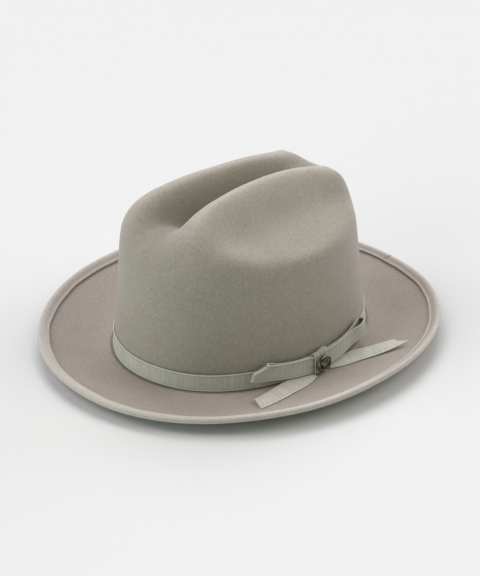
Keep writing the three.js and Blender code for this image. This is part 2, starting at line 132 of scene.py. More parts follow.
# Gains on the felt's colour: painted highlight on the ridges and painted shade in the crease (ridge),
# painted shade at the crown's foot (foot), a painted shadow line on the wall above the ribbon band (line),
# and the darker join in the folded edge (seam)
FELT_PAINTED_LIGHT_AND_SEAM = {"ridge": 0.32, "foot": 0.5, "line": 0.35, "seam": 0.55}
# How wide the painted highlight along each ridge is, and where the painted highlight and the painted
# crease shade fade out towards the ends
RIDGE_LIGHT_AND_CREASE_SHADE = {"width": 14.0, "end": 92.0, "fade": 30.0}
FELT_SHADER = {
    "Roughness": 0.95,
    "Specular IOR Level": 0.15,
    "Sheen Weight": 0.45,
    "Sheen Roughness": 0.45,
    "Sheen Tint": (1.0, 0.97, 0.92, 1),
}
FELT_BUMP = {"grain": (0.35, 0.0006), "fibres": (0.5, 0.00025)}

# Ribbon, bow and stud
RIBBON_WIDTH = 12.7
RIBBON_SKIN = 0.6
RIB_PITCH = 0.9
BAND_OFFSET = 0.1
BOW_MIDDLE = -6.0
BOW_BACK_OFFSET = 3.4
BOW_FRONT_OFFSET = 4.7
LOOPS = {
    "front": {"start": -8.0, "end": -61.6, "start_height": 10.2, "end_height": 16.6, "bulge": 6.0},
    "back": {"start": -4.0, "end": 51.8, "start_height": 10.6, "end_height": 17.2, "bulge": 8.0},
}
LOOP_CORNER = {"front": 9.0, "back": 3.0}
LOOP_OPENING = {"front": {"from": 0.7, "run": 0.28}, "back": {"from": 0.62, "run": 0.3}}
LOOP_TILT = {"front": 1.3, "back": 0.6}
LOOP_BENDS = {"sag": 0.5, "corner_from": 0.6, "corner_low": -0.1, "tilt_from": 0.3}
LOOP_GATHER = {"depth": 0.3, "count": 2.5, "reach": 0.22}
WRAP = {
    "width": 14.0,
    "low": 2.6,
    "high": 18.4,
    "back_offset": 1.9,
    "front_offset": 6.0,
    "corner": 1.3,
    "taper": 0.06,
}
PLEATS = {"count": 3.5, "depth": 0.35, "rise": 1.6, "rise_from": -0.3, "rise_run": 0.8}
TAILS = {
    "front": {
        "outer_x": [92.6, 96.4, 97.4, 98.7, 99.7, 100.4],
        "outer_y": [-13.6, -25.5, -39.0, -53.0, -67.0, -80.5],
        "inner_x": [86.6, 84.9, 84.4, 85.4, 86.2, 86.8],
        "inner_y": [-13.9, -26.5, -40.0, -52.0, -63.0, -72.9],
        "inner_lift": [0.5, 1.6, 3.0, 2.9, 2.6, 2.3],
        "outer_lift": [0.4, 0.4, 0.4, 0.4, 0.4, 0.4],
    },
    "back": {
        "outer_x": [91.6, 96.4, 99.9, 105.0, 110.0, 115.4],
        "outer_y": [1.6, 13.4, 25.0, 37.0, 48.5, 61.5],
        "inner_x": [86.9, 86.2, 88.0, 92.9, 97.9, 102.6],
        "inner_y": [1.9, 15.5, 29.0, 41.6, 52.0, 60.3],
        "inner_lift": [0.5, 1.6, 2.6, 2.6, 2.8, 3.0],
        "outer_lift": [0.4, 0.4, 0.5, 0.8, 1.6, 3.6],
    },
}
TAIL_NOTCH = {"front": 0.8, "back": 3.4}
TAIL_BENDS = {"notch_from": 0.85, "arch": 0.5, "wave": 0.25, "wave_turn": 2.1, "wave_start": 0.8}
STUD_HEIGHT = 10.3
STUD_TILT = 4.0
STUD_OFFSET = 7.0
STUD_PROFILE = {
    "radius": [0.0, 5.9, 6.4, 6.6, 6.6, 6.4, 6.0, 5.5, 5.2, 4.95, 4.6, 3.9, 2.8, 1.4, 0.0],
    "height": [0.0, 0.0, 0.25, 0.8, 2.1, 2.6, 2.9, 2.85, 2.5, 2.1, 2.15, 2.5, 2.95, 3.25, 3.35],
}
SELVEDGE = {"place": 0.95, "width": 0.035, "bead": 0.5, "edge_skin": 0.55, "skin": 0.9}
RIBBON_RAMP = [(0.2, (0.335, 0.328, 0.282)), (1.1, (0.680, 0.675, 0.600))]
RIBBON_TONE = {
    "streaks": (0.45, 0.6, 1.0),
    # Painted light: how much lighter the tails are made, as they face up to the light
    "tail_painted_light_gain": 0.2,
    "light_place": 0.475,
    "light_width": 0.03,
    "dark_place": 0.40,
    "dark_width": 0.025,
}
RIBBON_SHARES = {
    "rib": 0.07,
    "weave": 0.6,
    "streaks": 0.55,
    "light_edge": 0.65,
    "dark_edge": 0.3,
    "beads": 0.5,
}
RIBBON_NOISE = {"weave": (1400.0, 3.0, 0.6), "streaks": (1.0, 2.0, 0.6)}
RIBBON_SHADER = {"Roughness": 0.65, "Specular IOR Level": 0.25, "Sheen Weight": 0.08}
RIBBON_BUMP = {"rib": (0.5, 0.0001), "weave": (0.4, 0.0001)}
STUD_RAMP = [(0.42, (0.022, 0.017, 0.013)), (0.62, (0.340, 0.310, 0.275))]
STUD_NOISE = (380.0, 4.0, 0.65)
STUD_SHADER = {"Metallic": 0.9, "Roughness": 0.42}
STUD_BUMP = (0.8, 0.0007)

# Slight waves: how many go round, how high in mm, where they start and how they turn with height
CROWN_WAVES = [(3, 1.0, 0.9, 0.0), (5, 0.7, 2.1, 1 / 37), (9, 0.5, 0.4, -1 / 21)]
EDGE_WAVES = [(7, 0.25, 0.6, 0.0), (11, 0.15, 2.0, 0.0)]
FLAP_WAVES = [(13, 0.2, 0.0, 0.0), (29, 0.15, 0.0, 0.0)]
BAND_RIPPLE = [(5, 0.12, 0.7, 0.0), (11, 0.08, 0.0, 0.0)]
BAND_WAVES = [(3, 0.25, 1.0, 0.0), (8, 0.15, 0.0, 0.0)]

# How fine the meshes are
COLUMNS = 384
ROWS = {"nose": 12, "flap": 6, "brim": 24, "fillet": 4, "wall": 26, "shoulder": 22, "top": 40}
INSIDE_ROWS = {"brim": 16, "fillet": 4, "wall": 14, "shoulder": 12, "top": 24}
WELT_EDGE_STEPS = 6
BAND_STEPS = 720
LOOP_STEPS = 40
FOLD_STEPS = 16
WRAP_STEPS = 9
TAIL_STEPS = 60
STUD_SIDES = 64
HALVINGS = 30
WALL_TOP_ROUNDS = 4
SHOULDER_ROUNDS = 3
JOIN_COLUMNS = {"reach": 1.6, "step": 0.1, "apart": 0.002}
MERGE_DISTANCE = {"felt": 1e-6, "stud": 1e-7}
ACROSS = np.array([-1, -0.98, -0.95, -0.91, -0.86, -0.72, -0.57, -0.43, -0.28, -0.14, 0])
ACROSS = np.concatenate([ACROSS, -ACROSS[-2::-1]])


def signed_power(value, power):
    return np.sign(value) * np.abs(value) ** power


def smooth_step(value):
    t = np.clip(value, 0.0, 1.0)
    return t * t * (3.0 - 2.0 * t)


def mix(low, high, share):
    return low + (high - low) * share


def smooth_value(values, position):
    """A smooth curve through evenly spaced values, at positions counted in steps from the first."""
    v = np.asarray(values, dtype=float)
    v = np.concatenate([[2 * v[0] - v[1]], v, [2 * v[-1] - v[-2]]])
    index = np.clip(np.floor(position).astype(int), 0, len(values) - 2)
    t = position - index
    a, b, c, d = (v[index + step] for step in range(4))
    bend = 2 * a - 5 * b + 4 * c - d
    turn = 3 * b - a - 3 * c + d
    return (2 * b + (c - a) * t + bend * t**2 + turn * t**3) / 2


def ridge(name, y):
    places = RIDGE_ROWS["place"]
    return smooth_value(RIDGE_ROWS[name], (y - places[0]) / (places[1] - places[0]))


def oval(angle, power):
    return signed_power(np.cos(angle), 2 / power), signed_power(np.sin(angle), 2 / power)


def around_crown(angle, name):
    front = np.sin(angle) < 0
    end = np.where(front, CROWN_SIDES["front"][name], CROWN_SIDES["back"][name])
    return CROWN_SIDES["side"][name] * np.cos(angle) ** 2 + end * np.sin(angle) ** 2


def wall_outline(angle, height, offset=0.0):
    """The wall of the crown from above at a height, measured from the crown's own middle."""
    share = np.maximum(height - RIBBON_LEVEL, 0) / LEAN_HEIGHT
    inset = around_crown(angle, "lean") * share - offset
    x, y = oval(angle, FOOT_OVAL_POWER)
    return (FOOT_HALF_WIDTH - inset) * x, (FOOT_HALF_LENGTH - inset) * y


def crease_middle(y):
    share = (y - CREASE["front"]) / (CREASE["back"] - CREASE["front"])
    return mix(CREASE["front_aside"], CREASE["back_aside"], share)


def top_height(x, y):
    """Height of the creased and dented top, before its rounded edge."""
    aside = ridge("aside", y)
    from_middle = np.abs(x - crease_middle(y))
    front_end = np.maximum(CREASE["front"] + CREASE["front_run"] - y, 0) / CREASE["front_run"]
    back_end = np.maximum(y - CREASE["back"] + CREASE["back_run"], 0) / CREASE["back_run"]
    corner = CREASE["corner"]
    out = ((from_middle / aside) ** corner + (front_end + back_end) ** corner) ** (1 / corner)
    along = smooth_step((y - CREASE["front"]) / (CREASE["back"] - CREASE["front"]))
    power = mix(CREASE["front_power"], CREASE["back_power"], along)
    crease = CREASE["depth"] * ((1 + np.cos(np.pi * np.minimum(out, 1))) / 2) ** power
    beyond = np.maximum(from_middle - aside, 0)
    reach = np.where(y < DENT["middle"], DENT["front"], DENT["back"])
    bell = np.exp(-((np.abs(y - DENT["middle"]) / reach) ** DENT["power"]))
    depth = DENT["end_depth"] + (DENT["depth"] - DENT["end_depth"]) * bell
    dent = depth * (1 - np.exp(-((beyond / DENT["slope"]) ** 2))) + DENT["fall"] * bell * beyond
    return ridge("height", y) - crease - dent


def wall_top(angle):
    height = np.full_like(angle, LEAN_HEIGHT)
    for _ in range(WALL_TOP_ROUNDS):
        x, y = wall_outline(angle, height)
        height = top_height(x, y) - around_crown(angle, "shoulder")
    return height


def shoulder_point(angle, turn):
    """A point on the rounded edge of the top, from turn 0 at the wall to 1 at the top."""
    shoulder = around_crown(angle, "shoulder")
    inwards = 1 - abs(math.cos(turn * math.pi / 2)) ** (2 / SHOULDER_POWER)
    upwards = math.sin(turn * math.pi / 2) ** (2 / SHOULDER_POWER)
    height = wall_top(angle) + shoulder * upwards
    for _ in range(SHOULDER_ROUNDS):
        x, y = wall_outline(angle, height)
        shrink = 1 - shoulder * inwards / np.hypot(x, y)
        x, y = x * shrink, y * shrink
        height = top_height(x, y) - shoulder * (1 - upwards)
    return x, y, height


def waves(angle, parts, height=0.0):
    """The sum of a list of slight waves, at an angle round the hat."""
    total = 0.0
    for count, size, start, turn in parts:
        total = total + size * np.sin(count * angle + start + turn * height)
    return total


def unevenness(angle, height):
    """Slight waves of the crown above the ribbon, and the felt drawn in under the ribbon."""
    above = smooth_step((height - UNEVENNESS["from"]) / UNEVENNESS["run"])
    waviness = UNEVENNESS["size"] / 2 * waves(angle, CROWN_WAVES, height) * above
    pinch_from = RIBBON_LEVEL + RIBBON_WIDTH - RIBBON_PINCH["below"]
    pinch = 1 - smooth_step((height - pinch_from) / RIBBON_PINCH["above"])
    return waviness - RIBBON_PINCH["depth"] * pinch


def place_on_hat(x, y, z):
    return np.stack([x, y - CROWN_FORWARD, z * np.ones_like(x)], axis=-1)


def crown_rows(angle, steps):
    """Rows of points up the wall, over the shoulder and across the top to the middle line."""
    rows = []
    foot = FELT_THICKNESS + FOOT_FILLET
    top_of_wall = wall_top(angle)
    for row in range(steps["wall"]):
        height = foot + (top_of_wall - foot) * row / steps["wall"]
        rows.append(place_on_hat(*wall_outline(angle, height, unevenness(angle, height)), height))
    for row in range(steps["shoulder"]):
        x, y, height = shoulder_point(angle, row / steps["shoulder"])
        grow = 1 + unevenness(angle, height) / np.hypot(x, y)
        rows.append(place_on_hat(x * grow, y * grow, height))
    rim_x, rim_y, rim_height = shoulder_point(angle, 1.0)
    grow = 1 + unevenness(angle, rim_height) / np.hypot(rim_x, rim_y)
    spine_y = SPINE_HALF_LENGTH * oval(angle, FOOT_OVAL_POWER)[1]
    for row in range(steps["top"] + 1):
        share = 1 - row / steps["top"]
        x = mix(crease_middle(spine_y), rim_x, share)
        y = mix(spine_y, rim_y, share)
        fade = mix(1.0, grow, share)
        rows.append(place_on_hat(x * fade, y * fade, top_height(x, y)))
    return rows


def edge_height(angle):
    curl = EDGE_SIDE_CURL * np.cos(2 * angle) - EDGE_FRONT_LIFT * np.sin(angle)
    return EDGE_HEIGHT + curl + waves(angle, EDGE_WAVES)


def edge_place(angle):
    x, y = oval(angle, BRIM_OVAL_POWER)
    return (BRIM_HALF_WIDTH - EDGE_RADIUS) * x, (BRIM_HALF_LENGTH - EDGE_RADIUS) * y


def brim_point(angle, run, level):
    """run is the distance out from the crown's foot, level the height above the underside."""
    foot_x, foot_y = wall_outline(angle, 0.0)
    foot_y = foot_y - CROWN_FORWARD
    edge_x, edge_y = edge_place(angle)
    width = np.hypot(edge_x - foot_x, edge_y - foot_y)
    curl = np.maximum((run - RESTING_RING_WIDTH) / (width - RESTING_RING_WIDTH), 0)
    z = (edge_height(angle) - EDGE_RADIUS) * curl**BRIM_CURL_POWER + level
    share = run / width
    x, y = mix(foot_x, edge_x, share), mix(foot_y, edge_y, share)
    return np.stack([x, y, z * np.ones_like(x)], axis=-1)


def brim_width(angle):
    foot = brim_point(angle, 0.0, 0.0)
    edge_x, edge_y = edge_place(angle)
    return np.hypot(edge_x - foot[..., 0], edge_y - foot[..., 1])


def join_groove(angle, across):
    """How much the join in the folded-over edge is sunk; across is 0 outside to 1 inside."""
    middle = math.radians(WELT_JOIN["angle"] + WELT_JOIN["slant"] * (across - 0.5))
    distance = (angle - middle) * BRIM_HALF_WIDTH
    return WELT_JOIN["depth"] * np.exp(-((distance / WELT_JOIN["half_width"]) ** 2))


def edge_rows(angle):
    """The folded-over edge: round the nose, in over the flap, round its edge and into the slit."""
    width = brim_width(angle)
    rows = []
    for row in range(ROWS["nose"] + 1):
        turn = -math.pi / 2 + math.pi * row / ROWS["nose"]
        radius = EDGE_RADIUS - WELT_JOIN["nose"] * join_groove(angle, 0.0) * (turn > 0)
        out = EDGE_RADIUS * math.cos(turn)
        rows.append(brim_point(angle, width + out, EDGE_RADIUS + radius * math.sin(turn)))
    inner = width + EDGE_RADIUS - WELT_WIDTH + waves(angle, FLAP_WAVES)
    top = FELT_THICKNESS + WELT_HEIGHT
    start = 2 * EDGE_RADIUS
    for row in range(1, ROWS["flap"] + 1):
        share = row / ROWS["flap"]
        run = mix(width, inner + WELT_EDGE_RADIUS, share)
        level = mix(start, top, share) + WELT_ARCH * math.sin(math.pi * share)
        rows.append(brim_point(angle, run, level - join_groove(angle, share)))
    for row in range(1, WELT_EDGE_STEPS):
        turn = math.pi / 2 + math.pi * row / WELT_EDGE_STEPS
        run = inner + WELT_EDGE_RADIUS * (1 + math.cos(turn))
        level = top - WELT_EDGE_RADIUS * (1 - math.sin(turn))
        rows.append(brim_point(angle, run, level))
    slit_top = top - 2 * WELT_EDGE_RADIUS
    slit_floor = max(slit_top - WELT_SLIT["height"], FELT_THICKNESS)
    rows.append(brim_point(angle, inner + WELT_EDGE_RADIUS, slit_top))
    rows.append(brim_point(angle, inner + WELT_SLIT["depth"], slit_floor + WELT_SLIT["end_gap"]))
    rows.append(brim_point(angle, inner + WELT_EDGE_RADIUS, FELT_THICKNESS))
    return rows, inner


def outside_rows(angle):
    rows, inner = edge_rows(angle)
    for row in range(ROWS["brim"] + 1):
        run = mix(inner, FOOT_FILLET, row / ROWS["brim"])
        rows.append(brim_point(angle, run, FELT_THICKNESS))
    for row in range(1, ROWS["fillet"]):
        turn = row / ROWS["fillet"] * math.pi / 2
        level = FELT_THICKNESS + FOOT_FILLET * (1 - math.cos(turn))
        rows.append(brim_point(angle, FOOT_FILLET * (1 - math.sin(turn)), level))
    return rows + crown_rows(angle, ROWS)


def grid_normals(points):
    """Outward directions of a grid of points whose columns go round and whose rows go up."""
    round_step = np.roll(points, -1, axis=0) - np.roll(points, 1, axis=0)
    up_step = np.gradient(points, axis=1)
    normals = np.cross(round_step, up_step)
    return normals / np.maximum(np.linalg.norm(normals, axis=-1, keepdims=True), 1e-9)


def top_normals(points):
    x, y = points[..., 0], points[..., 1] + CROWN_FORWARD
    slope_x = top_height(x + 0.5, y) - top_height(x - 0.5, y)
    slope_y = top_height(x, y + 0.5) - top_height(x, y - 0.5)
    normals = np.stack([-slope_x, -slope_y, np.ones_like(x)], axis=-1)
    return normals / np.linalg.norm(normals, axis=-1, keepdims=True)


def inside_rows(angle):
    """The hidden side of the felt, from the middle of the crown down and out to the edge."""
    points = np.stack(crown_rows(angle, INSIDE_ROWS), axis=1)
    normals = grid_normals(points)
    top_start = INSIDE_ROWS["wall"] + INSIDE_ROWS["shoulder"] + INSIDE_ROWS["top"] // 3
    normals[:, top_start:] = top_normals(points[:, top_start:])
    normals[:, -1, 0] = 0
    points = points - FELT_THICKNESS * normals
    rows = [points[:, row] for row in range(points.shape[1] - 1, 0, -1)]
    radius = FOOT_FILLET + FELT_THICKNESS
    for row in range(INSIDE_ROWS["fillet"] + 1):
        turn = row / INSIDE_ROWS["fillet"] * math.pi / 2
        run = FOOT_FILLET - radius * math.cos(turn)
        rows.append(brim_point(angle, run, radius * (1 - math.sin(turn))))
    width = brim_width(angle)
    rows.append(brim_point(angle, RESTING_RING_WIDTH, 0.0))
    for row in range(1, INSIDE_ROWS["brim"]):
        run = mix(RESTING_RING_WIDTH, width, row / INSIDE_ROWS["brim"])
        rows.append(brim_point(angle, run, 0.0))
    return rows


def felt_angles():
    """Angles of the columns, closer together at the join in the edge and at its mirror image."""
    even = np.arange(COLUMNS) * 2 * np.pi / COLUMNS
    reach, step = JOIN_COLUMNS["reach"], JOIN_COLUMNS["step"]
    close = np.radians(WELT_JOIN["angle"] + np.arange(-reach, reach + step / 10, step))
    close = np.concatenate([close, np.pi - close])
    away = np.abs(even[:, None] - close[None, :]).min(axis=1) > JOIN_COLUMNS["apart"]
    return np.sort(np.concatenate([even[away], close]))


def mesh_object(name, points, faces, smooth=True):
    mesh = bpy.data.meshes.new(name)
    mesh.from_pydata((np.asarray(points) * MM).tolist(), [], faces)
    mesh.polygons.foreach_set("use_smooth", [smooth] * len(mesh.polygons))
    obj = bpy.data.objects.new(name, mesh)
    bpy.context.scene.collection.objects.link(obj)
    return obj


def merge_close(obj, distance):
    work = bmesh.new()
    work.from_mesh(obj.data)
    bmesh.ops.remove_doubles(work, verts=work.verts, dist=distance)
    work.to_mesh(obj.data)
    work.free()


def grid_faces(columns, rows, skip_row=-1, round_closed=True, row_closed=True):
    faces = []
    column_count = columns if round_closed else columns - 1
    row_count = rows if row_closed else rows - 1
    for column in range(column_count):
        here, there = column * rows, (column + 1) % columns * rows
        for row in range(row_count):
            if row != skip_row:
                up = (row + 1) % rows
                faces.append((here + row, there + row, there + up, here + up))
    return faces


def painted_ridge_light_and_crease_shade(x, y):
    """Painted light and shade of the top, set to match the photo: about 1 on a ridge, painted lighter, and
    -1 in the crease, painted darker, 0 at the ends.
    """
    from_middle = np.abs(x - crease_middle(y))
    aside = ridge("aside", np.clip(y, -90, 90))
    on_ridge = np.exp(-(((from_middle - aside) / RIDGE_LIGHT_AND_CREASE_SHADE["width"]) ** 2))
    in_crease = smooth_step(1 - from_middle / aside)
    return (on_ridge - in_crease) * smooth_step((RIDGE_LIGHT_AND_CREASE_SHADE["end"] - np.abs(y)) / RIDGE_LIGHT_AND_CREASE_SHADE["fade"])


def painted_flap_light_and_shade(angle):
    """Painted light and shade on the folded edge's flap, set to match the photo: painted lighter towards
    the front and darker round the back.
    """
    lit = np.cos(angle - math.radians(WELT_TONE_AND_PAINTED_FLAP_LIGHT["light_angle"]))
    share = smooth_step((lit - WELT_TONE_AND_PAINTED_FLAP_LIGHT["light_from"]) / WELT_TONE_AND_PAINTED_FLAP_LIGHT["light_run"])
    return mix(np.array(WELT_TONE_AND_PAINTED_FLAP_LIGHT["shaded_flap"]), np.array(WELT_TONE_AND_PAINTED_FLAP_LIGHT["lit_flap"]), share[:, None])


def felt_layers(points, angle, outside_count):
    """Where each tone of the felt lies: a value for each point, by the name of the tone."""
    welt = np.zeros(points.shape[:2])
    flap_from = ROWS["nose"] + 1
    edge_from = flap_from + ROWS["flap"]
    welt[:, 1:flap_from] = WELT_TONE_AND_PAINTED_FLAP_LIGHT["nose"]
    # Painted light on the flap towards the front and painted shade round the back
    welt[:, flap_from:edge_from] = painted_flap_light_and_shade(angle)
    welt[:, edge_from : edge_from + WELT_EDGE_STEPS - 1] = WELT_TONE_AND_PAINTED_FLAP_LIGHT["edge"]
    seam = np.zeros(points.shape[:2])
    seam[:, ROWS["nose"] // 2 : edge_from] = join_groove(angle, 0.5)[:, None] / WELT_JOIN["depth"]
    # Painted shade on the fillet rows at the crown's foot, where the crown meets the brim
    foot = np.zeros(points.shape[:2])
    foot_row = outside_count - ROWS["wall"] - ROWS["shoulder"] - ROWS["top"] - ROWS["fillet"] - 1
    foot[:, foot_row : foot_row + ROWS["fillet"]] = 1.0
    # Painted highlight on the ridges and painted shade in the crease of the top
    top = painted_ridge_light_and_crease_shade(points[..., 0], points[..., 1] + CROWN_FORWARD)
    top[:, : outside_count - ROWS["shoulder"] - ROWS["top"]] = 0.0
    top[:, outside_count:] = 0.0
    # Marks the crown for its painted greener tint
    crown = np.zeros(points.shape[:2])
    crown[:, foot_row:outside_count] = 1.0
    return {"welt": welt, "foot": foot, "top": top, "crown": crown, "seam": seam}


def add_layer(obj, name, values):
    layer = obj.data.attributes.new(name, "FLOAT", "POINT")
    layer.data.foreach_set("value", np.asarray(values, dtype=np.float32).ravel())


def felt_object():
    angle = felt_angles()
    outside = outside_rows(angle)
    rows = outside + inside_rows(angle)
    points = np.stack(rows, axis=1)
    faces = grid_faces(len(angle), len(rows), skip_row=len(outside) - 1)
    obj = mesh_object("felt_hat", points.reshape(-1, 3), faces)
    for layer_name, values in felt_layers(points, angle, len(outside)).items():
        add_layer(obj, layer_name, values)
    merge_close(obj, MERGE_DISTANCE["felt"])
    return obj


def beside_wall(y, offset, height=RIBBON_LEVEL):
    """The wall's place across on the wearer's left, at a place along the hat."""
    share = np.abs(y + CROWN_FORWARD) / (FOOT_HALF_LENGTH + offset)
    lean = CROWN_SIDES["side"]["lean"] * np.maximum(height - RIBBON_LEVEL, 0) / LEAN_HEIGHT
    return (FOOT_HALF_WIDTH + offset) * (1 - share**FOOT_OVAL_POWER) ** (1 / FOOT_OVAL_POWER) - lean


def strip_object(name, middles, closed=False):
    """A ribbon through a grid of points, its first index along it and its second across it."""
    if closed:
        along = np.roll(middles, -1, axis=0) - np.roll(middles, 1, axis=0)
    else:
        along = np.gradient(middles, axis=0)
    out = np.cross(along, np.gradient(middles, axis=1))
    out /= np.linalg.norm(out, axis=-1, keepdims=True)
    from_edge = (np.abs(ACROSS) - SELVEDGE["place"]) / SELVEDGE["width"]
    bead = 1 + SELVEDGE["bead"] * np.exp(-(from_edge**2))
    skin = np.where(np.abs(ACROSS) == 1, SELVEDGE["edge_skin"], SELVEDGE["skin"])
    half_skin = RIBBON_SKIN / 2 * bead * skin
    front = middles + out * half_skin[None, :, None]
    back = middles - out * half_skin[None, :, None]
    points = np.concatenate([front, back[:, ::-1]], axis=1)
    count = points.shape[1]
    faces = grid_faces(len(middles), count, round_closed=closed)
    if not closed:
        last = (len(middles) - 1) * count
        faces.append(tuple(range(count))[::-1])
        faces.append(tuple(last + row for row in range(count)))
    obj = mesh_object(name, points.reshape(-1, 3), faces)
    add_ribbon_uv(obj, middles[:, len(ACROSS) // 2], count, closed)
    fix_normals(obj)
    return obj


def add_ribbon_uv(obj, middles, count, closed):
    """UV: the length along the ribbon in ribs, and 0 to 1 across it."""
    ends = np.roll(middles, -1, axis=0) if closed else middles[1:]
    starts = middles if closed else middles[:-1]
    lengths = np.concatenate([[0], np.cumsum(np.linalg.norm(ends - starts, axis=1))]) / RIB_PITCH
    if closed:
        lengths *= round(lengths[-1]) / lengths[-1]
    across = (np.concatenate([ACROSS, ACROSS[::-1]]) + 1) / 2
    layer = obj.data.uv_layers.new(name="ribbon")
    for polygon in obj.data.polygons:
        columns = [obj.data.loops[i].vertex_index // count for i in polygon.loop_indices]
        wraps = closed and max(columns) - min(columns) > 1
        for loop_index, column in zip(polygon.loop_indices, columns):
            row = obj.data.loops[loop_index].vertex_index % count
            place = len(middles) if wraps and column == 0 else column
            layer.data[loop_index].uv = (lengths[place], across[row])


def fix_normals(obj):
    work = bmesh.new()
    work.from_mesh(obj.data)
    bmesh.ops.recalc_face_normals(work, faces=work.faces)
    work.to_mesh(obj.data)
    work.free()


def band_object():
    angle = np.arange(BAND_STEPS) * 2 * np.pi / BAND_STEPS
    ripple = waves(angle, BAND_RIPPLE)
    columns = []
    for step in ACROSS:
        height = RIBBON_LEVEL + RIBBON_WIDTH * (step + 1) / 2
        x, y = wall_outline(angle, height, BAND_OFFSET + ripple * step)
        columns.append(place_on_hat(x, y, height + waves(angle, BAND_WAVES)))
    return strip_object("hat_band", np.stack(columns, axis=1), closed=True)


def loop_path(loop, opening):
    """Places, offsets from the wall and shares of the way out, along a loop and back."""
    along = 1.0 if loop["end"] > loop["start"] else -1.0
    radius = (loop["bulge"] - BOW_BACK_OFFSET) / 2
    fold = loop["end"] - along * radius
    out = np.arange(LOOP_STEPS) / LOOP_STEPS
    turn = np.pi * (1 - np.arange(FOLD_STEPS + 1) / FOLD_STEPS)
    bulge = smooth_step((out[::-1] - opening["from"]) / opening["run"])
    straight = mix(loop["start"], fold, out)
    round_fold = fold + along * radius * np.sin(turn)
    y = np.concatenate([straight, round_fold, straight[::-1]])
    offset = np.concatenate([
        np.full(LOOP_STEPS, BOW_BACK_OFFSET),
        BOW_BACK_OFFSET + radius * (1 + np.cos(turn)),
        mix(BOW_FRONT_OFFSET, loop["bulge"], bulge),
    ])
    return y, offset, (y - loop["start"]) / (loop["end"] - loop["start"])


def loop_object(name, side):
    loop = LOOPS[side]
    along = 1.0 if loop["end"] > loop["start"] else -1.0
    y, offset, share = loop_path(loop, LOOP_OPENING[side])
    y, offset, share = y[:, None], offset[:, None], share[:, None]
    slope = along * (loop["end_height"] - loop["start_height"]) / abs(loop["end"] - loop["start"])
    reach = ACROSS[None, :] * RIBBON_WIDTH / 2 / math.hypot(1, slope)
    low, begin = LOOP_BENDS["corner_low"], LOOP_BENDS["corner_from"]
    upper_part = smooth_step((ACROSS[None, :] - low) / (1 - low))
    cut = LOOP_CORNER[side] * upper_part * smooth_step((share - begin) / (1 - begin))
    places = y - slope * reach - along * cut
    sag = LOOP_BENDS["sag"] * np.sin(np.pi * share) ** 2
    heights = mix(loop["start_height"], loop["end_height"], share) + reach - sag
    folds = LOOP_GATHER["depth"] * np.cos(LOOP_GATHER["count"] * np.pi * ACROSS[None, :])
    gather = folds * np.exp(-((share / LOOP_GATHER["reach"]) ** 2))
    outside = np.arange(len(y))[:, None] > LOOP_STEPS
    tilt_from = LOOP_BENDS["tilt_from"]
    tilt = LOOP_TILT[side] * ACROSS[None, :] * smooth_step((share - tilt_from) / (1 - tilt_from)) * outside
    x = beside_wall(places, offset + gather * outside + tilt, heights)
    return strip_object(name, np.stack([x, places, heights], axis=-1))


def wrap_object():
    """The short turn of ribbon round both loops, gathered into pleats."""
    near, far = WRAP["back_offset"], WRAP["front_offset"]
    low, high, corner = WRAP["low"], WRAP["high"], WRAP["corner"]
    centres = [(far - corner, high - corner), (near + corner, high - corner)]
    centres += [(near + corner, low + corner), (far - corner, low + corner)]
    path = []
    for quarter, (offset, height) in enumerate(centres):
        for turn in (quarter + np.linspace(0, 1, WRAP_STEPS)) * math.pi / 2:
            path.append((offset + corner * math.cos(turn), height + corner * math.sin(turn), turn))
    offset, height, turn = (np.array(column)[:, None] for column in zip(*path))
    upper = smooth_step((height - low) / (high - low))
    pleat = PLEATS["depth"] * np.cos(PLEATS["count"] * np.pi * ACROSS[None, :])
    lifted = smooth_step((ACROSS[None, :] - PLEATS["rise_from"]) / PLEATS["rise_run"])
    rise = PLEATS["rise"] * lifted * upper
    offsets = offset + pleat * np.cos(turn)
    heights = height + pleat * np.sin(turn) + rise
    places = BOW_MIDDLE + ACROSS[None, :] * WRAP["width"] / 2 * (1 - WRAP["taper"] * upper)
    x = beside_wall(places, offsets, heights)
    return strip_object("bow_knot", np.stack([x, places, heights], axis=-1), closed=True)


def brim_top_at(x, y):
    low, high = np.full_like(x, -np.pi / 2), np.full_like(x, np.pi / 2)
    for _ in range(HALVINGS):
        angle = (low + high) / 2
        foot = brim_point(angle, 0.0, 0.0)
        edge_x, edge_y = edge_place(angle)
        foot_x, foot_y = foot[..., 0], foot[..., 1]
        side = (edge_x - foot_x) * (y - foot_y) - (edge_y - foot_y) * (x - foot_x)
        low, high = np.where(side > 0, angle, low), np.where(side > 0, high, angle)
    foot = brim_point(low, 0.0, 0.0)
    run = np.hypot(x - foot[..., 0], y - foot[..., 1])
    return brim_point(low, run, FELT_THICKNESS)[..., 2]


